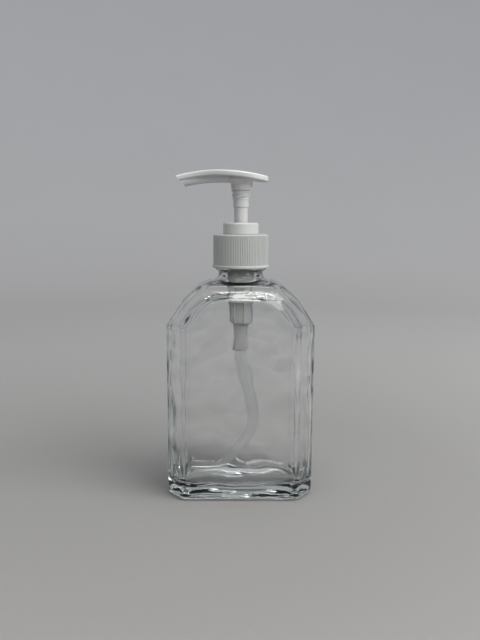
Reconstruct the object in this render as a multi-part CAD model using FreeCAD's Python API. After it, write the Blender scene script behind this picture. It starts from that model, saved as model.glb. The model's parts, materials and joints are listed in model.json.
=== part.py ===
import FreeCAD, Part
import math
import os

# Soap pump dispenser: a thick glass flask with a screwed-on lotion pump.
# Millimetres. Origin at the centre of the base, +Z up, nozzle towards -X,
# front panel towards -Y.

V = FreeCAD.Vector
ZAXIS = V(0, 0, 1)
OUT = "parts"

# --- bottle ---
WIDTH = 82.4            # between the two side rims
DEPTH = 48.0            # front panel to back panel
RIM = 25.0              # width of the side rim, front to back
BEVEL = 8.3             # how far the panel edge stands in from the rim, sides
ARCH_BEVEL = 6.0        # the same along the arched shoulder
CORNER_Z = 97.5         # height of the shoulder corner
FLANK_DEG = 56.6        # slope of the straight run above the corner
ARCH_R = 30.0           # radius of the shoulder arc
ARCH_CX = 8.3           # its centre, out from the middle
ARCH_CZ = 92.9
WALL = 3.0
FLOOR_Z = 5.8           # inner floor at its edge
FLOOR_DOME = 1.5        # how much the inner floor rises in the middle
TAPER = 0.4             # each side stands in by this much at the foot
EDGE_R = 3.5            # rounding of every outside edge
CAVITY_R = 8.0
PUSH_UP = 2.2           # depth of the recess under the base

# --- glass neck finish ---
NECK_R = 12.55
NECK_BORE_R = 9.5
FINISH_TOP = 142.9
BEAD_R = 14.2
BEAD_TOP = 128.3
BEAD_FOOT = 126.6
PITCH = 4.2333          # six threads to the inch
TURNS = 1.5
GLASS_THREAD_R = 13.75
GLASS_THREAD_Z = 132.1
THREAD_OFFSET = 1.47    # plastic ridge below the glass ridge

# --- closure ---
CLOSURE_Z0 = 128.7
CLOSURE_Z1 = 147.2
CLOSURE_SHELF = 145.55
CLOSURE_IN_R = 14.05
CLOSURE_THREAD_R = 12.8
CLOSURE_CORE_R = 15.12
CLOSURE_RIB_R = 15.45
CLOSURE_LIP_R = 15.85
CLOSURE_LIP_Z = 130.3
CLOSURE_HOLE_R = 8.55
RIBS = 100

# --- gasket, housing, collar ---
GASKET_TOP = 143.9
FLANGE_R = 12.5
FLANGE_TOP = 145.5
TUBE_OUT_R = 7.55
BORE_R = 6.3
TUBE_END = 110.0
LOWER_BORE_R = 4.9
LEDGE_Z = 99.0
BARREL_CORE_R = 5.8
BARREL_RIB_R = 6.95
BARREL_END = 96.7
SPIGOT_R = 4.5
SPIGOT_END = 81.6
COLLAR_R = 9.9
COLLAR_Z0 = 147.25
COLLAR_Z1 = 153.7
PLUG_END = 142.3
GUIDE_TOP = 143.8
GUIDE_R = 3.9
LOCK_LEAD = 4.3
LOCK_IN_MINOR_R = 4.75
LOCK_IN_MAJOR_R = 5.45

# --- valve, spring, piston ---
BALL_R = 2.38
SEAT_APEX = 95.8
BALL_GAP = 0.02
CAGE_TOP = 105.1
SPRING_R = 4.1
WIRE_R = 0.45
SPRING_TURNS = 6.0        # open coils
SPRING_END_TURNS = 1.25   # closed coils at each end
SPRING_END_PITCH = 0.96
SPRING_TOP = 132.0
SEAT_Z = 133.5          # piston sleeve rests on the rod's flange
STEM_END = 139.2
PISTON_Z0 = 131.9
PISTON_Z1 = 141.0
SLEEVE_TOP = 138.0

# --- stem and head ---
STEM_R = 3.8
STEM_BORE_R = 2.3
STEM_TOP = 173.4
SKIRT_R = 4.3
SKIRT_Z = 162.1
HEAD_THREAD_Z0 = 166.3
HEAD_THREAD_Z1 = 171.5
HEAD_ROOT_R = 4.5
HEAD_CREST_R = 5.25
BOSS_R = 5.65
HEAD_TOP = 182.6
ARC_X = -10.9           # highest point of the arched plate
ARC_R = 96.0
CROWN_R = 90.0          # curvature of the plate across its width
PLATE_T = 3.1
CONDUIT_DEPTH = 6.95    # top of plate to underside of the nozzle conduit
CONDUIT_HALF = 3.7
PLATE_END = 15.1
CHANNEL_R = 1.3
CHANNEL_DEPTH = 4.65
TIP_TOP = (-35.8, 178.9)
TIP_FOOT = (-31.0, 173.5)

# --- dip tube ---
TUBE_R = 3.4
TUBE_IN_R = 2.6
TUBE_TOP = 94.4
TUBE_RUN = [(0, 0, TUBE_TOP), (0, 0, 75.5), (10.2, -2.0, 37.0), (-14.5, -7.2, 11.3),
            (-33.0, -10.5, 10.9)]
TUBE_BENDS = [45.0, 20.0, 26.0]


def save(name, shape):
    """Check one piece and write it out."""
    merged = shape.copy().removeSplitter()
    if merged.isValid():
        shape = merged
    solids = shape.Solids
    if len(solids) != 1 or not shape.isValid():
        raise RuntimeError("%s: %d solids, valid %s" % (name, len(solids), shape.isValid()))
    solids[0].exportStep(os.path.join(OUT, name + ".step"))
    box = solids[0].BoundBox
    print("%-14s %8.1f mm3  z %.2f..%.2f  x %.2f..%.2f  y %.2f..%.2f" % (
        name, solids[0].Volume, box.ZMin, box.ZMax, box.XMin, box.XMax, box.YMin, box.YMax))
    return solids[0]


def cyl(r, z0, z1):
    return Part.makeCylinder(r, z1 - z0, V(0, 0, z0))


def ring(r_out, r_in, z0, z1):
    return cyl(r_out, z0, z1).cut(cyl(r_in, z0 - 1, z1 + 1))


def turned(points):
    """Solid of revolution about Z from (r, z) points."""
    wire = Part.makePolygon([V(r, 0, z) for r, z in points] + [V(points[0][0], 0, points[0][1])])
    return Part.Face(wire).revolve(V(0, 0, 0), ZAXIS, 360)


def ridge(r_base, r_tip, base, tip, lead, z0, turns, start_deg=0.0):
    """One helical ridge of trapezoid section; z0 is its middle at the start."""
    path = Part.makeHelix(lead, lead * turns, min(r_base, r_tip))
    corners = [V(r_base, 0, -base / 2), V(r_tip, 0, -tip / 2), V(r_tip, 0, tip / 2), V(r_base, 0, base / 2)]
    section = Part.makePolygon(corners + [corners[0]])
    solid = Part.Wire(path).makePipeShell([section], True, True)
    solid.translate(V(0, 0, z0))
    solid.rotate(V(0, 0, 0), ZAXIS, start_deg)
    return solid


def edges_where(shape, test):
    return [e for e in shape.Edges if test(e)]


def corner_deg(shape, edge):
    """Angle between the two faces that meet at an edge, in degrees."""
    at = edge.valueAt((edge.FirstParameter + edge.LastParameter) / 2)
    faces = [f for f in shape.Faces if any(e.isSame(edge) for e in f.Edges)]
    if len(faces) < 2:
        return 0.0
    normals = [f.normalAt(*f.Surface.parameter(at)) for f in faces[:2]]
    return math.degrees(normals[0].getAngle(normals[1]))


# ---------------------------------------------------------------- bottle

def flask_outline(side_in, arch_in, foot, y):
    """Closed front outline of the flask at depth y, stepped in from its rim."""
    n = V(math.sin(math.radians(FLANK_DEG)), 0, math.cos(math.radians(FLANK_DEG)))
    half = WIDTH / 2 - side_in
    level = WIDTH / 2 * n.x + CORNER_Z * n.z - arch_in
    corner_z = (level - half * n.x) / n.z
    r = level - ARCH_CX * n.x - ARCH_CZ * n.z
    tangent = (ARCH_CX + r * n.x, ARCH_CZ + r * n.z)
    lean = math.radians(90 - FLANK_DEG / 2)
    middle = (ARCH_CX + r * math.cos(lean), ARCH_CZ + r * math.sin(lean))
    foot_x = half - TAPER * (corner_z - foot) / CORNER_Z
    right = [(foot_x, foot), (half, corner_z), tangent, middle, (ARCH_CX, ARCH_CZ + r)]
    a, b, c, d, e = [V(x, y, z) for x, z in right]
    a2, b2, c2, d2, e2 = [V(-x, y, z) for x, z in right]
    edges = [Part.makeLine(a, b), Part.makeLine(b, c), Part.Arc(c, d, e).toShape(),
             Part.makeLine(e, e2), Part.Arc(e2, d2, c2).toShape(), Part.makeLine(c2, b2),
             Part.makeLine(b2, a2), Part.makeLine(a2, a)]
    return Part.Wire(edges)


def flask_body(rim_half, depth_half, rim_in, panel_in, panel_arch_in, foot):
    wires = [flask_outline(panel_in, panel_arch_in, foot, -depth_half),
             flask_outline(rim_in, rim_in, foot, -rim_half),
             flask_outline(rim_in, rim_in, foot, rim_half),
             flask_outline(panel_in, panel_arch_in, foot, depth_half)]
    return Part.makeLoft(wires, True, True)


def ellipsoid(a, b, c, z):
    m = FreeCAD.Matrix()
    m.scale(a, b, c)
    shape = Part.makeSphere(1.0).transformGeometry(m)
    shape.translate(V(0, 0, z))
    return shape


def flask_outside():
    """The outer form standing on z = 0, with every edge rounded alike."""
    body = flask_body(RIM / 2, DEPTH / 2, 0.0, BEVEL, ARCH_BEVEL, 0.0)
    return body.makeFillet(EDGE_R, body.Edges)


def bottle():
    body = flask_outside()
    neck = turned([(0, 112), (NECK_R, 112), (NECK_R, BEAD_FOOT), (BEAD_R, BEAD_TOP - 0.5),
                   (BEAD_R, BEAD_TOP), (NECK_R, BEAD_TOP), (NECK_R, FINISH_TOP - 0.5),
                   (NECK_R - 0.5, FINISH_TOP), (0, FINISH_TOP)])
    body = body.fuse(neck)
    body = body.fuse(turned([(11.0, 121.5), (14.6, 121.5), (14.6, 122.95), (13.4, 123.4),
                             (12.9, 124.1), (NECK_R, 125.2), (11.0, 125.2)]))
    thread = ridge(NECK_R - 0.3, GLASS_THREAD_R, 2.4, 0.9, PITCH, GLASS_THREAD_Z, TURNS)
    body = body.fuse(thread)

    t = WALL
    slope = math.hypot(BEVEL, (DEPTH - RIM) / 2)
    nx = (DEPTH - RIM) / 2 / slope
    ny = BEVEL / slope
    level = nx * WIDTH / 2 + ny * RIM / 2 - t
    panel_x = (level - ny * (DEPTH / 2 - t)) / nx
    rim_y = (level - nx * (WIDTH / 2 - t)) / ny
    panel_in = WIDTH / 2 - panel_x
    cavity = flask_body(rim_y, DEPTH / 2 - t, t, panel_in, ARCH_BEVEL + t * 0.75, FLOOR_Z)
    cavity = cavity.makeFillet(CAVITY_R, cavity.Edges)
    cavity = cavity.cut(ellipsoid(31, 16, FLOOR_DOME, FLOOR_Z))
    bore = turned([(0, 112), (NECK_BORE_R + 4.0, 112), (NECK_BORE_R + 3.2, 117.6),
                   (NECK_BORE_R + 1.2, 120.4), (NECK_BORE_R + 0.2, 122.4), (NECK_BORE_R, 124.5),
                   (NECK_BORE_R, FINISH_TOP - 0.6), (NECK_BORE_R + 0.6, FINISH_TOP),
                   (NECK_BORE_R + 0.6, FINISH_TOP + 1), (0, FINISH_TOP + 1)])
    body = body.cut(cavity.fuse(bore))
    return body.cut(ellipsoid(33.5, 17.5, PUSH_UP, 0))


# ---------------------------------------------------------------- closure and collar

def closure():
    envelope = turned([(0, CLOSURE_Z0), (CLOSURE_RIB_R, CLOSURE_Z0), (CLOSURE_RIB_R, CLOSURE_Z1 - 0.8),
                       (CLOSURE_RIB_R - 0.25, CLOSURE_Z1 - 0.3), (CLOSURE_RIB_R - 0.8, CLOSURE_Z1),
                       (0, CLOSURE_Z1)])
    points = []
    for i in range(RIBS):
        for k, r in ((-0.30, CLOSURE_CORE_R), (-0.12, CLOSURE_RIB_R), (0.12, CLOSURE_RIB_R),
                     (0.30, CLOSURE_CORE_R)):
            a = 2 * math.pi * (i + k) / RIBS
            points.append(V(r * math.cos(a), r * math.sin(a), CLOSURE_Z0))
    star = Part.Face(Part.makePolygon(points + [points[0]])).extrude(V(0, 0, CLOSURE_Z1 - CLOSURE_Z0))
    body = star.common(envelope)
    lip = turned([(0, CLOSURE_Z0), (CLOSURE_LIP_R - 0.3, CLOSURE_Z0), (CLOSURE_LIP_R, CLOSURE_Z0 + 0.3),
                  (CLOSURE_LIP_R, CLOSURE_LIP_Z - 0.4), (CLOSURE_CORE_R, CLOSURE_LIP_Z), (0, CLOSURE_LIP_Z)])
    body = body.fuse(lip)
    hollow = turned([(0, CLOSURE_Z0 - 1), (CLOSURE_IN_R + 0.4, CLOSURE_Z0 - 1),
                     (CLOSURE_IN_R + 0.4, CLOSURE_Z0), (CLOSURE_IN_R, CLOSURE_Z0 + 0.6),
                     (CLOSURE_IN_R, CLOSURE_SHELF), (CLOSURE_HOLE_R, CLOSURE_SHELF),
                     (CLOSURE_HOLE_R, CLOSURE_Z1 + 1), (0, CLOSURE_Z1 + 1)])
    body = body.cut(hollow)
    thread = ridge(CLOSURE_IN_R + 0.3, CLOSURE_THREAD_R, 2.04, 0.8, PITCH,
                   GLASS_THREAD_Z - THREAD_OFFSET, TURNS)
    return body.fuse(thread)


def locking_collar():
    body = turned([(GUIDE_R, PLUG_END), (BORE_R - 0.5, PLUG_END), (BORE_R - 0.02, PLUG_END + 0.6),
                   (BORE_R - 0.02, FLANGE_TOP), (CLOSURE_HOLE_R - 0.1, FLANGE_TOP),
                   (CLOSURE_HOLE_R - 0.1, COLLAR_Z0), (COLLAR_R - 0.25, COLLAR_Z0),
                   (COLLAR_R, COLLAR_Z0 + 0.25), (COLLAR_R, COLLAR_Z1 - 1.0),
                   (COLLAR_R - 0.12, COLLAR_Z1 - 0.5), (COLLAR_R - 0.5, COLLAR_Z1 - 0.12),
                   (COLLAR_R - 1.0, COLLAR_Z1), (LOCK_IN_MAJOR_R + 0.3, COLLAR_Z1),
                   (LOCK_IN_MAJOR_R, COLLAR_Z1 - 0.3), (LOCK_IN_MAJOR_R, 147.6),
                   (LOCK_IN_MINOR_R, 147.2), (LOCK_IN_MINOR_R, GUIDE_TOP), (GUIDE_R, GUIDE_TOP)])
    for start in (0, 180):
        body = body.fuse(ridge(LOCK_IN_MAJOR_R + 0.3, LOCK_IN_MINOR_R, 1.2, 0.45, LOCK_LEAD,
                               148.6, 0.9, start))
    return body


def neck_gasket():
    return ring(FLANGE_R - 0.1, TUBE_OUT_R + 0.05, FINISH_TOP, GASKET_TOP)


# ---------------------------------------------------------------- pump body and valves

def pump_housing():
    body = turned([(0, SPIGOT_END), (SPIGOT_R - 0.3, SPIGOT_END), (SPIGOT_R, SPIGOT_END + 0.4),
                   (SPIGOT_R, BARREL_END), (BARREL_CORE_R - 0.8, BARREL_END),
                   (BARREL_CORE_R, BARREL_END + 0.8), (BARREL_CORE_R, TUBE_END),
                   (TUBE_OUT_R - 0.5, TUBE_END), (TUBE_OUT_R, TUBE_END + 0.6), (TUBE_OUT_R, GASKET_TOP), (FLANGE_R, GASKET_TOP),
                   (FLANGE_R, FLANGE_TOP), (0, FLANGE_TOP)])
    envelope = turned([(0, BARREL_END), (BARREL_RIB_R - 1.2, BARREL_END), (BARREL_RIB_R, BARREL_END + 1.0),
                       (BARREL_RIB_R, TUBE_END), (0, TUBE_END)])
    rib = Part.makeBox(BARREL_RIB_R, 1.4, TUBE_END - BARREL_END, V(0, -0.7, BARREL_END))
    for i in range(6):
        arm = rib.copy()
        arm.rotate(V(0, 0, 0), ZAXIS, -68 + 60 * i)
        body = body.fuse(arm.common(envelope))
    hollow = turned([(0, SPIGOT_END - 1), (TUBE_R + 0.02, SPIGOT_END - 1), (TUBE_R + 0.02, TUBE_TOP + 0.1),
                     (1.4, TUBE_TOP + 0.1), (1.4, SEAT_APEX + 1.4), (LEDGE_Z - SEAT_APEX, LEDGE_Z),
                     (LOWER_BORE_R, LEDGE_Z), (LOWER_BORE_R, TUBE_END + 1.2), (BORE_R, TUBE_END + 2.4),
                     (BORE_R, FLANGE_TOP + 1), (0, FLANGE_TOP + 1)])
    body = body.cut(hollow)
    return body.cut(Part.makeCylinder(0.6, 10, V(0, 0, 137.0), V(1, 0, 0)))


def ball_cage():
    body = ring(LOWER_BORE_R - 0.02, 3.3, LEDGE_Z, CAGE_TOP)
    for i in range(3):
        finger = Part.makeBox(2.6, 1.4, 1.7, V(1.3, -0.7, CAGE_TOP - 1.7))
        finger.rotate(V(0, 0, 0), ZAXIS, 120 * i)
        body = body.fuse(finger)
    return body


def inlet_ball():
    return Part.makeSphere(BALL_R, V(0, 0, SEAT_APEX + BALL_R * math.sqrt(2) + BALL_GAP))


def return_spring():
    """Open coils between two closed end coils."""
    ends = SPRING_END_TURNS * SPRING_END_PITCH
    rise = SPRING_TOP - CAGE_TOP - 2 * WIRE_R
    turns = SPRING_TURNS + 2 * SPRING_END_TURNS
    points = []
    for i in range(int(turns * 12) + 1):
        t = i / 12
        z = t * SPRING_END_PITCH
        if t > turns - SPRING_END_TURNS:
            z = rise - (turns - t) * SPRING_END_PITCH
        elif t > SPRING_END_TURNS:
            z = ends + (t - SPRING_END_TURNS) * (rise - 2 * ends) / SPRING_TURNS
        a = 2 * math.pi * t
        points.append(V(SPRING_R * math.cos(a), SPRING_R * math.sin(a), CAGE_TOP + WIRE_R + z))
    curve = Part.BSplineCurve()
    curve.interpolate(points)
    start = curve.FirstParameter
    section = Part.Wire(Part.makeCircle(WIRE_R, points[0], curve.tangent(start)[0]))
    return Part.Wire([curve.toShape()]).makePipeShell([section], True, True)


def piston_rod():
    body = turned([(0, 129.5), (2.9, 129.5), (3.2, 129.9), (3.2, SPRING_TOP), (4.6, SPRING_TOP),
                   (4.6, SEAT_Z - 0.4), (4.2, SEAT_Z), (2.75, SEAT_Z), (2.75, STEM_END - 0.02),
                   (STEM_BORE_R - 0.05, STEM_END - 0.02), (STEM_BORE_R - 0.05, 145.6),
                   (STEM_BORE_R - 0.4, 146.0), (0, 146.0)])
    body = body.cut(cyl(1.3, 135.0, 147.0))
    for i in range(2):
        body = body.cut(Part.makeCylinder(0.75, 8, V(-4, 0, 135.4), V(1, 0, 0)) if i == 0 else
                        Part.makeCylinder(0.75, 8, V(0, -4, 135.4), V(0, 1, 0)))
    return body


def piston():
    lip = BORE_R - 0.03
    return turned([(2.80, SEAT_Z), (3.9, SEAT_Z), (3.9, 136.0), (5.4, 136.0), (5.4, 133.0),
                   (lip - 0.3, PISTON_Z0), (lip, PISTON_Z0), (lip, PISTON_Z0 + 1.0),
                   (lip - 0.2, PISTON_Z0 + 2.0), (lip - 0.2, PISTON_Z1 - 2.0), (lip, PISTON_Z1 - 1.0),
                   (lip, PISTON_Z1), (lip - 0.3, PISTON_Z1), (5.4, 139.6), (5.4, 137.2),
                   (3.9, 137.2), (3.9, SLEEVE_TOP), (2.80, SLEEVE_TOP)])


# ---------------------------------------------------------------- stem, head, dip tube

def stem():
    return turned([(STEM_BORE_R, STEM_END), (STEM_R, STEM_END), (STEM_R, STEM_TOP - 0.4),
                   (STEM_R - 0.4, STEM_TOP), (STEM_BORE_R, STEM_TOP)])


def arched(section, x_from, x_to):
    """Carry a cross-section face at x = ARC_X along the plate's arch."""
    centre = V(ARC_X, 0, HEAD_TOP - ARC_R)
    a0 = math.degrees(math.asin((x_from - ARC_X) / ARC_R))
    a1 = math.degrees(math.asin((x_to - ARC_X) / ARC_R))
    face = section.copy()
    face.rotate(centre, V(0, 1, 0), a0)
    return face.revolve(centre, V(0, 1, 0), a1 - a0)


def plan_outline():
    """The plate seen from above: a rounded pad running out into the nozzle."""
    end_r = 13.3
    end_x = PLATE_END - end_r
    join = V(9.0, math.sqrt(end_r ** 2 - (9.0 - end_x) ** 2), 0)
    run = V(join.y, end_x - join.x, 0)
    side = [(-38.0, 4.5), (-30.0, 4.9), (-22.0, 6.3), (-14.0, 9.0), (-6.0, 11.5), (1.5, 12.7)]
    edges = [Part.Arc(join, V(PLATE_END, 0, 0), V(join.x, -join.y, 0)).toShape()]
    for mirror in (1, -1):
        curve = Part.BSplineCurve()
        points = [V(x, y * mirror, 0) for x, y in side] + [V(join.x, join.y * mirror, 0)]
        curve.interpolate(Points=points, InitialTangent=V(1, 0, 0), FinalTangent=V(run.x, run.y * mirror, 0))
        edges.append(curve.toShape())
    edges.append(Part.makeLine(V(-38.0, 4.5, 0), V(-38.0, -4.5, 0)))
    outline = Part.Wire(Part.__sortEdges__(edges))
    return Part.Face(outline).extrude(V(0, 0, 60))


def crown_section(depth, half):
    top = [V(ARC_X, y, HEAD_TOP - CROWN_R + math.sqrt(CROWN_R ** 2 - y * y)) for y in (-half, 0, half)]
    low = [v - V(0, 0, depth) for v in top]
    edges = [Part.Arc(*top).toShape(), Part.makeLine(top[2], low[2]),
             Part.Arc(low[2], low[1], low[0]).toShape(), Part.makeLine(low[0], top[0])]
    return Part.Face(Part.Wire(edges))


def actuator_head():
    plan = plan_outline()
    plan.translate(V(0, 0, 150))
    plate = arched(crown_section(PLATE_T, 15.0), -37.5, 17.5).common(plan)
    rim = edges_where(plate, lambda e: e.BoundBox.XMax > -34 and corner_deg(plate, e) > 30)
    plate = plate.makeFillet(0.9, rim)
    z_low = HEAD_TOP - CONDUIT_DEPTH
    w = CONDUIT_HALF
    r = 2.9
    k = r * (1 - math.sqrt(0.5))
    u = [V(ARC_X, y, z) for y, z in ((-w, HEAD_TOP - 1.5), (-w, z_low + r), (-w + k, z_low + k),
                                     (-w + r, z_low), (w - r, z_low), (w - k, z_low + k),
                                     (w, z_low + r), (w, HEAD_TOP - 1.5))]
    section = Part.Face(Part.Wire([Part.makeLine(u[0], u[1]), Part.Arc(u[1], u[2], u[3]).toShape(),
                                   Part.makeLine(u[3], u[4]), Part.Arc(u[4], u[5], u[6]).toShape(),
                                   Part.makeLine(u[6], u[7]), Part.makeLine(u[7], u[0])]))
    body = plate.fuse(arched(section, -37.5, 0.0))
    body = body.fuse(turned([(0, HEAD_THREAD_Z1), (BOSS_R - 0.5, HEAD_THREAD_Z1), (BOSS_R - 0.2, HEAD_THREAD_Z1 + 0.3),
                             (BOSS_R, 174.6), (BOSS_R + 0.25, 175.4), (BOSS_R + 0.8, 176.4),
                             (BOSS_R + 1.7, 177.4), (BOSS_R + 1.7, 178.8), (0, 178.8)]))
    body = body.fuse(Part.makeBox(1.6, 0.9, 4.2, V(BOSS_R - 1.0, -0.45, 173.4)))
    body = body.fuse(turned([(0, SKIRT_Z), (SKIRT_R - 0.2, SKIRT_Z), (SKIRT_R, SKIRT_Z + 0.3),
                             (SKIRT_R, HEAD_THREAD_Z0 - 0.2), (HEAD_ROOT_R, HEAD_THREAD_Z0),
                             (HEAD_ROOT_R, HEAD_THREAD_Z1 + 1), (0, HEAD_THREAD_Z1 + 1)]))
    for start in (20, 200):
        body = body.fuse(ridge(HEAD_ROOT_R - 0.3, HEAD_CREST_R, 1.5, 0.5, LOCK_LEAD,
                               HEAD_THREAD_Z0 + 0.85, 1.0, start))
    dx = TIP_TOP[0] - TIP_FOOT[0]
    dz = TIP_TOP[1] - TIP_FOOT[1]
    a = V(TIP_FOOT[0] - dx * 4, -20, TIP_FOOT[1] - dz * 4)
    b = V(TIP_FOOT[0] + dx * 4, -20, TIP_FOOT[1] + dz * 4)
    out = V(-30, 0, -30 * -dx / dz)
    tip = Part.Face(Part.makePolygon([a, b, b + out, a + out, a])).extrude(V(0, 40, 0))
    body = body.cut(tip)
    body = body.cut(cyl(STEM_R + 0.02, SKIRT_Z - 1, STEM_TOP + 0.02))
    body = body.cut(cyl(STEM_BORE_R, STEM_TOP - 1, HEAD_TOP - CHANNEL_DEPTH))
    hole = Part.Face(Part.Wire(Part.makeCircle(CHANNEL_R, V(ARC_X, 0, HEAD_TOP - CHANNEL_DEPTH), V(1, 0, 0))))
    return body.cut(arched(hole, -40.0, 0.0))


def bent_path(points, radii):
    """Straight runs joined by tangent arcs."""
    pts = [V(*p) for p in points]
    edges = []
    here = pts[0]
    for i, radius in enumerate(radii):
        corner = pts[i + 1]
        a = (pts[i] - corner).normalize()
        b = (pts[i + 2] - corner).normalize()
        half = a.getAngle(b) / 2
        reach = radius / math.tan(half)
        start = corner + a * reach
        end = corner + b * reach
        middle = corner + (a + b).normalize() * (radius / math.sin(half) - radius)
        edges.append(Part.makeLine(here, start))
        edges.append(Part.Arc(start, middle, end).toShape())
        here = end
    edges.append(Part.makeLine(here, pts[-1]))
    return Part.Wire(edges)


def dip_tube():
    path = bent_path(TUBE_RUN, TUBE_BENDS)
    solids = []
    for r in (TUBE_R, TUBE_IN_R):
        section = Part.Wire(Part.makeCircle(r, V(*TUBE_RUN[0]), ZAXIS))
        solids.append(path.makePipeShell([section], True, False))
    body = solids[0].cut(solids[1])
    want = math.pi * (TUBE_R ** 2 - TUBE_IN_R ** 2) * path.Length
    print("dip tube length %.1f, volume %.1f, expected %.1f" % (path.Length, body.Volume, want))
    return body


os.makedirs("parts", exist_ok=True)
save("bottle", bottle())
save("closure", closure())
save("locking_collar", locking_collar())
save("neck_gasket", neck_gasket())
save("pump_housing", pump_housing())
save("ball_cage", ball_cage())
save("inlet_ball", inlet_ball())
save("return_spring", return_spring())
save("piston_rod", piston_rod())
save("piston", piston())
save("stem", stem())
save("actuator_head", actuator_head())
save("dip_tube", dip_tube())
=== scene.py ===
import json
import math

import bpy
from mathutils import Matrix, Vector

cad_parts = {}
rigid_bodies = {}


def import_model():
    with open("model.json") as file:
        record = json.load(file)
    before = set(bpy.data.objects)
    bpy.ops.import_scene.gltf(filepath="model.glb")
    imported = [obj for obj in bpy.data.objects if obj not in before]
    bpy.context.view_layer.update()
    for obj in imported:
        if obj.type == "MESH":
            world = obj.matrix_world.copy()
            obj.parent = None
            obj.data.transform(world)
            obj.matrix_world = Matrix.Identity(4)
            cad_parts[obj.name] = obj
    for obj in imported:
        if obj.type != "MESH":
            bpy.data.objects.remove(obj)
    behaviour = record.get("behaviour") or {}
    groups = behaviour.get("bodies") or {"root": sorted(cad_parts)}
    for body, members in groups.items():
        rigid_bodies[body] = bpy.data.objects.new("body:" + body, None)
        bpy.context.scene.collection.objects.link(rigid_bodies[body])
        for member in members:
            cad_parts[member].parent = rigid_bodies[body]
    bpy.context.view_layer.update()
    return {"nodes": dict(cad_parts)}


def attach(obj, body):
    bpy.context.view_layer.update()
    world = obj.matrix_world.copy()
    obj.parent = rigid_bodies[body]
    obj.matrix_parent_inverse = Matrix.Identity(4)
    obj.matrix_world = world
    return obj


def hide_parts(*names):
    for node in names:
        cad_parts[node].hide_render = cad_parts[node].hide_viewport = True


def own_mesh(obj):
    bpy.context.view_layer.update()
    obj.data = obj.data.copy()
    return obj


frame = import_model()
MM = 0.001


# ---------------------------------------------------------------- finishes

# Sockets of a Mix node that blends colours, by their number
MIX_FACTOR, MIX_FIRST, MIX_SECOND = 0, 6, 7
MIX_RESULT = 2


class Signal:
    """A socket's value that can be added and multiplied in plain Python."""

    def __init__(self, finish, socket):
        self.finish = finish
        self.socket = socket

    def _math(self, operation, first, second):
        node = self.finish.node("ShaderNodeMath", {"operation": operation}, {0: first, 1: second})
        return node.out("Value")

    def __add__(self, other):
        return self._math("ADD", self, other)

    def __radd__(self, other):
        return self._math("ADD", other, self)

    def __mul__(self, other):
        return self._math("MULTIPLY", self, other)

    def __rmul__(self, other):
        return self._math("MULTIPLY", other, self)


class Built:
    """A node that has been set up, with its outputs ready to use."""

    def __init__(self, finish, node):
        self.finish = finish
        self.node = node

    def out(self, socket):
        return Signal(self.finish, self.node.outputs[socket])


class Finish:
    """One material and the nodes that make it."""

    def __init__(self, name):
        self.material = bpy.data.materials.new(name)
        self.material.use_nodes = True
        self.tree = self.material.node_tree
        self.tree.nodes.clear()
        self.place = self.node("ShaderNodeTexCoord").out("Object")

    def node(self, kind, settings=None, inputs=None):
        """Add a node; its settings come first, then its sockets' values or links."""
        node = self.tree.nodes.new(kind)
        for key, value in (settings or {}).items():
            if key == "stops":
                points = node.color_ramp.elements
                while len(points) < len(value):
                    points.new(1.0)
                for point, (where, shade) in zip(points, value):
                    point.position = where
                    point.color = (*shade, 1)
            else:
                setattr(node, key, value)
        for key, value in (inputs or {}).items():
            socket = node.inputs[key]
            if isinstance(value, Signal):
                self.tree.links.new(value.socket, socket)
            else:
                socket.default_value = value
        return Built(self, node)

    def noise(self, scale, detail, roughness=0.5, stretch=(1, 1, 1)):
        """Values about 0.5 over the surface; scale is in features per metre."""
        along = self.node("ShaderNodeMapping", {}, {"Vector": self.place, "Scale": stretch})
        return self.node("ShaderNodeTexNoise", {}, {
            "Vector": along.out("Vector"), "Scale": scale,
            "Detail": detail, "Roughness": roughness}).out("Fac")

    def between(self, low, high, mask):
        """A colour from low to high by the mask."""
        return self.node("ShaderNodeMix", {"data_type": "RGBA"}, {
            MIX_FACTOR: mask, MIX_FIRST: (*low, 1), MIX_SECOND: (*high, 1)}).out(MIX_RESULT)

    def bump(self, height, distance):
        return self.node("ShaderNodeBump", {}, {
            "Height": height, "Distance": distance, "Strength": 1.0}).out("Normal")

    def close(self, shader, volume=None):
        """Join the shader, and what fills the inside, to the material's output."""
        output = self.node("ShaderNodeOutputMaterial", {}, {"Surface": shader.out(0)})
        if volume:
            self.tree.links.new(volume.out("Volume").socket, output.node.inputs["Volume"])
        return self.material


def moulded_plastic(name, shade, deep, rough, scatter, grain=900):
    """Injection-moulded plastic: faint flow marks, a fine skin and soft light inside."""
    f = Finish(name)
    flow = f.noise(scale=90, detail=3, roughness=0.55, stretch=(1, 1, 0.35))
    skin = f.noise(scale=grain, detail=2)
    marks, skin_marks = 0.10, 0.06          # how much each one changes the roughness
    middle = rough - 0.5 * (marks + skin_marks)
    shader = f.node("ShaderNodeBsdfPrincipled", {}, {
        "Base Color": f.between(deep, shade, flow),
        "Roughness": flow * marks + skin * skin_marks + middle,
        "Normal": f.bump(skin * 0.35 + flow * 0.65, distance=0.06 * MM),
        "IOR": 1.49,
        "Subsurface Weight": scatter,
        "Subsurface Radius": (1.0, 0.95, 0.9),
        "Subsurface Scale": 1.2 * MM})
    return f.close(shader)


def clear_glass():
    """Pressed soda glass: a slow ripple on its faces and a faint green in its thickness."""
    f = Finish("flask_glass")
    ripple = f.noise(scale=38, detail=2, roughness=0.45, stretch=(1, 1, 0.6))
    shader = f.node("ShaderNodeBsdfPrincipled", {}, {
        "Base Color": (1, 1, 1, 1), "Roughness": 0.0, "IOR": 1.515, "Transmission Weight": 1.0,
        "Normal": f.bump(ripple, distance=0.6 * MM)})
    tint = f.node("ShaderNodeVolumeAbsorption", {}, {
        "Color": (0.66, 0.765, 0.75, 1), "Density": 14.0})
    return f.close(shader, tint)


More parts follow.
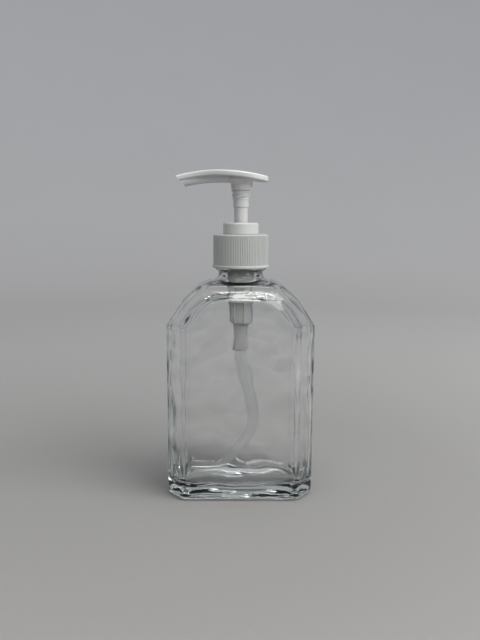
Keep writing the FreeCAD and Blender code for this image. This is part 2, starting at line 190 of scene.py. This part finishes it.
def tube_plastic():
    """Natural polyethylene tube: milky, and clear enough to show what stands behind it."""
    f = Finish("tube_plastic")
    flow = f.noise(scale=120, detail=3, roughness=0.55, stretch=(1, 1, 0.25))
    milk = f.node("ShaderNodeBsdfPrincipled", {}, {
        "Base Color": f.between((0.86, 0.88, 0.87), (0.92, 0.94, 0.93), flow),
        "Roughness": flow * 0.15 + 0.30, "IOR": 1.5, "Transmission Weight": 0.75,
        "Normal": f.bump(flow, distance=0.08 * MM)})
    clear = f.node("ShaderNodeBsdfTransparent", {}, {"Color": (0.975, 0.98, 0.98, 1)})
    clearness = flow * 0.12 + 0.76
    shader = f.node("ShaderNodeMixShader", {}, {
        0: clearness, 1: milk.out("BSDF"), 2: clear.out("BSDF")})
    return f.close(shader)


def drawn_steel():
    """Bright wire and ball steel, with fine streaks."""
    f = Finish("spring_steel")
    streak = f.noise(scale=1500, detail=2, roughness=0.6)
    shader = f.node("ShaderNodeBsdfPrincipled", {}, {
        "Base Color": f.between((0.50, 0.50, 0.49), (0.66, 0.66, 0.65), streak),
        "Metallic": 1.0, "Roughness": streak * 0.15 + 0.2,
        "Normal": f.bump(streak, distance=0.03 * MM)})
    return f.close(shader)


PAPER_REACH = 2.4                # metres from the dispenser to the last tone
PAPER_PAINTED_SHADE = [                  # share of that reach, and the painted shade of the paper there, deeper near the lamps
    (0.0, (0.222, 0.222, 0.221)),
    (0.06, (0.243, 0.242, 0.241)),
    (0.112, (0.288, 0.287, 0.286)),
    (0.21, (0.355, 0.355, 0.354)),
    (0.40, (0.455, 0.455, 0.456)),
    (0.52, (0.520, 0.521, 0.526)),
    (0.62, (0.555, 0.557, 0.568)),
    (1.0, (0.63, 0.635, 0.66)),
]


def backdrop_paper():
    """Matt paper with painted shade near the lamps and painted light far off, so that the whole
    sweep looks evenly lit.
    """
    f = Finish("backdrop_paper")
    mottle = f.noise(scale=5, detail=2)
    fibre = f.noise(scale=700, detail=2, roughness=0.6)
    reach = f.node("ShaderNodeVectorMath", {"operation": "LENGTH"}, {0: f.place}).out("Value")
    # painted shade: the paper's colour is deeper near the lamps and paler far off, by distance
    # from the dispenser
    painted_shade = f.node("ShaderNodeValToRGB", {"stops": PAPER_PAINTED_SHADE},
                  {"Fac": reach * (1 / PAPER_REACH)}).out("Color")
    cloudy = f.node("ShaderNodeMix", {"data_type": "RGBA", "blend_type": "MULTIPLY"}, {
        MIX_FACTOR: mottle * 0.25, MIX_FIRST: painted_shade, MIX_SECOND: (0.90, 0.89, 0.885, 1)})
    shader = f.node("ShaderNodeBsdfPrincipled", {}, {
        "Base Color": cloudy.out(MIX_RESULT), "Roughness": 0.85,
        "Normal": f.bump(fibre, distance=0.1 * MM)})
    return f.close(shader)


def flag_cloth():
    """Black cloth for the cards that darken the glass."""
    f = Finish("flag_cloth")
    weave = f.noise(scale=900, detail=2)
    shader = f.node("ShaderNodeBsdfPrincipled", {}, {
        "Base Color": f.between((0.02, 0.02, 0.02), (0.035, 0.035, 0.035), weave),
        "Roughness": 0.95})
    return f.close(shader)


# ---------------------------------------------------------------- modelling helpers

def dress(obj, material):
    obj.data.materials.clear()
    obj.data.materials.append(material)


def deselect():
    for obj in bpy.context.view_layer.objects:
        obj.select_set(False)


def take_up(obj):
    """Make this the one selected and active object."""
    deselect()
    obj.select_set(True)
    bpy.context.view_layer.objects.active = obj


def pick_faces(obj, test):
    """Select just the faces whose middle passes the test, ready for edit mode."""
    mesh = obj.data
    for item in (mesh.vertices, mesh.edges, mesh.polygons):
        item.foreach_set("select", [False] * len(item))
    for face in mesh.polygons:
        face.select = test(face.center)
    mesh.update()


def edit(obj, mode="FACE"):
    take_up(obj)
    bpy.ops.object.mode_set(mode="EDIT")
    bpy.ops.mesh.select_mode(type=mode)


def leave():
    bpy.ops.object.mode_set(mode="OBJECT")


def work(obj, kind, **settings):
    """Put a modifier on the object with these settings and apply it at once."""
    modifier = obj.modifiers.new(kind.lower(), kind)
    for key, value in settings.items():
        setattr(modifier, key, value)
    take_up(obj)
    bpy.ops.object.modifier_apply(modifier=modifier.name)


def smooth_by_angle(obj, degrees):
    take_up(obj)
    bpy.ops.object.shade_smooth_by_angle(angle=math.radians(degrees))


# ---------------------------------------------------------------- the glass flask

RIM_HALF = 12.5 * MM         # half the flat rim's width, front to back
PANEL_HALF = 24.0 * MM       # half the depth over the two panels
SIDE = 41.2 * MM             # half the width over the rim
BEVEL_IN = 8.3 * MM          # bevel's step in from the side rim
ARCH_IN = 6.0 * MM           # and from the arch
ARCH_AT = (8.3 * MM, 92.9 * MM)
ARCH_R = 30 * MM
FLANK_TURN = 33.4            # degrees up the arc at which it runs on as a straight flank
SHOULDER = 122.9 * MM
SKIN = 2.5 * MM              # less than the wall, more than the rounding of the edges
NECK_FOOT = 116 * MM
NECK_HOLLOW_R = 11.6 * MM    # between the neck's bore and its outside
MOUTH = 142.6 * MM           # just under the lip's flat top

MERGE = 0.0001 * MM          # corners nearer than this are one
PLUG_RISE = 3 * MM           # how far the carving tool stands out of the mouth
VOXEL = 1.1 * MM
WANDER_SIZE = 21 * MM        # from one swelling of the wall to the next
WANDER_DEPTH = 2.9 * MM
WANDER_FADE = 14 * MM        # the wall grows calm over this height, up to the neck
FACET_ANGLE = 38             # degrees above which an edge of the flask stays crisp


def depth_in_glass(p):
    """How far a point lies behind the flask's outer faces, which bevel towards its panels."""
    x, y = abs(p.x), abs(p.y)
    arch_x, arch_z = ARCH_AT
    along, up = x - arch_x, p.z - arch_z
    if along > 0 and up > 0:
        if math.degrees(math.atan2(up, along)) > FLANK_TURN:
            in_plane = ARCH_R - math.hypot(along, up)
        else:
            flank = math.radians(FLANK_TURN)
            in_plane = ARCH_R - along * math.cos(flank) - up * math.sin(flank)
    else:
        in_plane = SHOULDER - p.z
    drop = PANEL_HALF - RIM_HALF
    past_rim = RIM_HALF - y
    side_bevel = (drop * (SIDE - x) + BEVEL_IN * past_rim) / math.hypot(drop, BEVEL_IN)
    arch_bevel = (drop * in_plane + ARCH_IN * past_rim) / math.hypot(drop, ARCH_IN)
    return min(in_plane, SIDE - x, PANEL_HALF - y, side_bevel, arch_bevel, p.z)


def inside_face(p):
    """True on the wall that the soap touches, from the floor up to the mouth's inner edge."""
    if p.z > NECK_FOOT:
        return math.hypot(p.x, p.y) < NECK_HOLLOW_R and p.z < MOUTH
    return depth_in_glass(p) > SKIN


def close_openings(shell, rise=0.0):
    """Fill a shell's open rims, first drawing them up by the rise."""
    edit(shell, "EDGE")
    bpy.ops.mesh.select_all(action="DESELECT")
    bpy.ops.mesh.select_non_manifold(extend=False)
    if rise:
        bpy.ops.mesh.extrude_edges_move(TRANSFORM_OT_translate={"value": (0, 0, rise)})
    bpy.ops.mesh.edge_face_add()
    leave()


def split_off_inside(flask):
    """Take the inner wall off the flask, and close both what is left and what came off."""
    edit(flask, "VERT")
    bpy.ops.mesh.select_all(action="SELECT")
    bpy.ops.mesh.remove_doubles(threshold=MERGE)
    leave()
    pick_faces(flask, inside_face)
    edit(flask)
    bpy.ops.mesh.separate(type="SELECTED")
    leave()
    hollow = [o for o in bpy.context.selected_objects if o is not flask][0]
    close_openings(flask)
    close_openings(hollow, PLUG_RISE)
    edit(hollow)
    bpy.ops.mesh.select_all(action="SELECT")
    bpy.ops.mesh.normals_make_consistent(inside=False)
    leave()
    return hollow


def let_wander(hollow):
    """Make the inner wall swell and sink slowly, and less towards the neck."""
    work(hollow, "REMESH", mode="VOXEL", voxel_size=VOXEL)
    work(hollow, "SMOOTH", factor=0.5, iterations=10)
    wall = hollow.vertex_groups.new(name="wall")
    for v in hollow.data.vertices:
        freedom = min(1.0, max(0.0, (NECK_FOOT - v.co.z) / WANDER_FADE))
        wall.add([v.index], freedom, "REPLACE")
    sway = bpy.data.textures.new("glass_sway", "CLOUDS")
    sway.noise_scale = WANDER_SIZE
    sway.noise_depth = 1
    work(hollow, "DISPLACE", texture=sway, texture_coords="LOCAL", vertex_group=wall.name,
         strength=WANDER_DEPTH, mid_level=0.5)


def pressed_flask(glass):
    """The flask: true outside, and an inner wall that wanders as pressed glass does."""
    flask = bpy.data.objects.new("pressed_flask", frame["nodes"]["bottle"].data.copy())
    bpy.context.scene.collection.objects.link(flask)
    hollow = split_off_inside(flask)
    let_wander(hollow)
    work(flask, "BOOLEAN", object=hollow, operation="DIFFERENCE", solver="EXACT")
    bpy.data.objects.remove(hollow)
    smooth_by_angle(flask, FACET_ANGLE)
    work(flask, "WEIGHTED_NORMAL", keep_sharp=True)
    dress(flask, glass)
    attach(flask, "bottle")
    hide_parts("bottle")


# ---------------------------------------------------------------- the return spring

COIL_R = 4.1 * MM
WIRE_R = 0.45 * MM
COIL_FOOT = 105.1 * MM
COIL_TOP = 132.0 * MM
OPEN_TURNS = 6.0
END_TURNS = 1.25             # closed turns at each end
END_PITCH = 0.96 * MM
STEPS = 20                   # cross-sections in a turn
WIRE_SIDES = 12
WELD = 0.002 * MM


def wound_spring(steel):
    """A wire wound turn by turn, closed at both ends."""
    deselect()
    bpy.ops.mesh.primitive_circle_add(
        vertices=WIRE_SIDES, radius=WIRE_R, location=(COIL_R, 0, COIL_FOOT + WIRE_R),
        rotation=(math.pi / 2, 0, 0))
    spring = bpy.context.object
    spring.name = "wound_spring"
    bpy.ops.object.transform_apply(location=True, rotation=True, scale=True)
    edit(spring, "EDGE")
    bpy.ops.mesh.select_all(action="SELECT")
    bpy.ops.mesh.edge_face_add()
    rise = COIL_TOP - COIL_FOOT - 2 * WIRE_R
    turns = OPEN_TURNS + 2 * END_TURNS
    open_pitch = (rise - 2 * END_TURNS * END_PITCH) / OPEN_TURNS
    for i in range(int(turns * STEPS)):
        middle = (i + 0.5) / STEPS
        pitch = open_pitch if END_TURNS < middle < turns - END_TURNS else END_PITCH
        bpy.ops.mesh.extrude_region_move()
        bpy.ops.transform.rotate(value=-2 * math.pi / STEPS, orient_axis="Z",
                                 center_override=(0, 0, 0))
        bpy.ops.transform.translate(value=(0, 0, pitch / STEPS))
    bpy.ops.mesh.select_all(action="SELECT")
    bpy.ops.mesh.remove_doubles(threshold=WELD)
    bpy.ops.mesh.normals_make_consistent(inside=False)
    leave()
    smooth_by_angle(spring, 50)
    dress(spring, steel)
    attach(spring, "pump_unit")
    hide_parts("return_spring")
    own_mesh(spring)


# ---------------------------------------------------------------- the studio

FLOOR_R = 0.9                # where the flat floor ends and the sweep turns up
SWEEP_R = 1.2
SWEEP_STEPS = 16


def studio():
    """A pale sweep: a floor that turns up far behind into a wall, with no line between them."""
    deselect()
    bpy.ops.mesh.primitive_circle_add(vertices=96, radius=FLOOR_R, fill_type="NGON",
                                      location=(0, 0, 0))
    sweep = bpy.context.object
    sweep.name = "backdrop"
    edit(sweep, "EDGE")
    bpy.ops.mesh.select_all(action="DESELECT")
    bpy.ops.mesh.select_non_manifold(extend=False)
    for i in range(SWEEP_STEPS):
        low = math.pi / 2 * i / SWEEP_STEPS
        high = math.pi / 2 * (i + 1) / SWEEP_STEPS
        inner = FLOOR_R + SWEEP_R * math.sin(low)
        outer = FLOOR_R + SWEEP_R * math.sin(high)
        bpy.ops.mesh.extrude_edges_move()
        bpy.ops.transform.resize(value=(outer / inner, outer / inner, 1),
                                 center_override=(0, 0, 0))
        bpy.ops.transform.translate(value=(0, 0, SWEEP_R * (math.cos(low) - math.cos(high))))
    leave()
    smooth_by_angle(sweep, 30)
    dress(sweep, backdrop_paper())


def flag(name, size, place, tilt, refracts=True):
    """A black card that only shows in the glass, as the dim side of the room does."""
    deselect()
    bpy.ops.mesh.primitive_plane_add(size=1, location=place,
                                     rotation=[math.radians(a) for a in tilt])
    card = bpy.context.object
    card.name = name
    card.scale = (*size, 1)
    bpy.ops.object.transform_apply(location=True, rotation=True, scale=True)
    dress(card, flag_cloth())
    for ray in ("camera", "diffuse", "shadow", "volume_scatter"):
        setattr(card, "visible_" + ray, False)
    card.visible_transmission = refracts


def flags():
    flag("flag_floor", size=(2.4, 0.66), place=(0, -0.52, 0.002), tilt=(0, 0, 0), refracts=False)
    flag("flag_front", size=(1.7, 1.8), place=(0, -0.86, 0.85), tilt=(90, 0, 0))
    flag("flag_left", size=(1.3, 1.2), place=(-0.85, -0.2, 0.6), tilt=(90, 0, 90))
    flag("flag_right", size=(1.3, 1.2), place=(0.85, -0.2, 0.6), tilt=(90, 0, 90))


def lamp(name, place, aim, size, watts, colour):
    light = bpy.data.lights.new(name, "AREA")
    light.shape = "RECTANGLE"
    light.size, light.size_y = size
    light.energy = watts
    light.color = colour
    obj = bpy.data.objects.new(name, light)
    bpy.context.scene.collection.objects.link(obj)
    obj.location = place
    obj.rotation_euler = (Vector(aim) - Vector(place)).to_track_quat("-Z", "Y").to_euler()
    return obj


def lights():
    """A dim room, a broad window and ceiling, and two small lamps that only glint."""
    world = bpy.data.worlds.new("room")
    bpy.context.scene.world = world
    world.use_nodes = True
    room = world.node_tree.nodes["Background"].inputs
    room["Color"].default_value = (0.95, 0.97, 1.0, 1)
    room["Strength"].default_value = 0.45
    window = lamp("window_right", place=(0.85, -0.55, 0.75), aim=(0, 0, 0.1),
                  size=(1.0, 1.0), watts=14.2, colour=(1.0, 0.99, 0.98))
    window.visible_glossy = False
    lamp("ceiling", place=(0.15, -0.25, 1.15), aim=(0, 0, 0),
         size=(0.8, 0.8), watts=9.0, colour=(1.0, 0.98, 0.95))
    strip = lamp("strip_light", place=(0.10, -0.42, 0.80), aim=(0, 0, 0.12),
                 size=(0.45, 0.10), watts=3.0, colour=(1.0, 1.0, 1.0))
    spot = lamp("spot_left", place=(-0.30, -0.62, 0.62), aim=(0, 0, 0.12),
                size=(0.10, 0.10), watts=2.5, colour=(1.0, 0.95, 0.86))
    for glint in (strip, spot):
        glint.visible_diffuse = False


LENS = 39.63                 # millimetres, on a sensor 36 high
REACH = 0.398                # from the pump's axis, along the floor
EYE_HEIGHT = 0.1553
ROUND = math.radians(-0.67)  # where the camera stands round the axis
TURN = math.radians(0.034)   # how far it then looks aside of the axis
DOWN = math.radians(8.1)
ROLL = math.radians(0.3)


def camera():
    data = bpy.data.cameras.new("camera")
    cam = bpy.data.objects.new("camera", data)
    bpy.context.scene.collection.objects.link(cam)
    data.sensor_fit = "VERTICAL"
    data.sensor_height = 36
    data.lens = LENS
    place = Vector((REACH * math.sin(ROUND), -REACH * math.cos(ROUND), EYE_HEIGHT))
    cam.matrix_world = (Matrix.Translation(place)
                        @ Matrix.Rotation(ROUND + TURN, 4, "Z")
                        @ Matrix.Rotation(math.pi / 2 - DOWN, 4, "X")
                        @ Matrix.Rotation(ROLL, 4, "Z"))
    bpy.context.scene.camera = cam


# ---------------------------------------------------------------- the dispenser

PLASTIC_PIECES = (
    # finish, its pale and deep shades, roughness, light scattered inside, pieces
    ("closure_plastic", (0.44, 0.455, 0.445), (0.39, 0.405, 0.395), 0.46, 0.06, ["closure"]),
    ("collar_plastic", (0.50, 0.51, 0.50), (0.46, 0.47, 0.455), 0.38, 0.10, ["locking_collar"]),
    ("stem_plastic", (0.55, 0.56, 0.555), (0.51, 0.52, 0.51), 0.30, 0.10, ["stem"]),
    ("head_plastic", (0.56, 0.57, 0.565), (0.51, 0.52, 0.515), 0.38, 0.08, ["actuator_head"]),
    # the housing's shades are deepened as painted shade, offsetting the glint lamps' light that
    # reaches it through the glass
    ("housing_plastic", (0.48, 0.50, 0.495), (0.43, 0.45, 0.445), 0.34, 0.12,
     ["pump_housing"]),
    ("natural_plastic", (0.72, 0.74, 0.72), (0.68, 0.70, 0.68), 0.4, 0.3,
     ["ball_cage", "piston", "piston_rod"]),
)
FOAM_GRAIN = 2500
GLASS_BOUNCES = 40           # light crosses many glass walls before it leaves the flask

nodes = frame["nodes"]
pressed_flask(clear_glass())
for finish, pale, deep, rough, scatter, pieces in PLASTIC_PIECES:
    plastic = moulded_plastic(finish, pale, deep, rough, scatter)
    for name in pieces:
        dress(nodes[name], plastic)
dress(nodes["neck_gasket"],
      moulded_plastic("gasket_foam", (0.7, 0.7, 0.68), (0.6, 0.6, 0.58), 0.7, 0.1, FOAM_GRAIN))
dress(nodes["dip_tube"], tube_plastic())
steel = drawn_steel()
dress(nodes["inlet_ball"], steel)
wound_spring(steel)

studio()
flags()
lights()
camera()
bpy.context.scene.view_settings.view_transform = "Standard"
paths = bpy.context.scene.cycles
paths.max_bounces = GLASS_BOUNCES
paths.glossy_bounces = GLASS_BOUNCES
paths.transmission_bounces = GLASS_BOUNCES
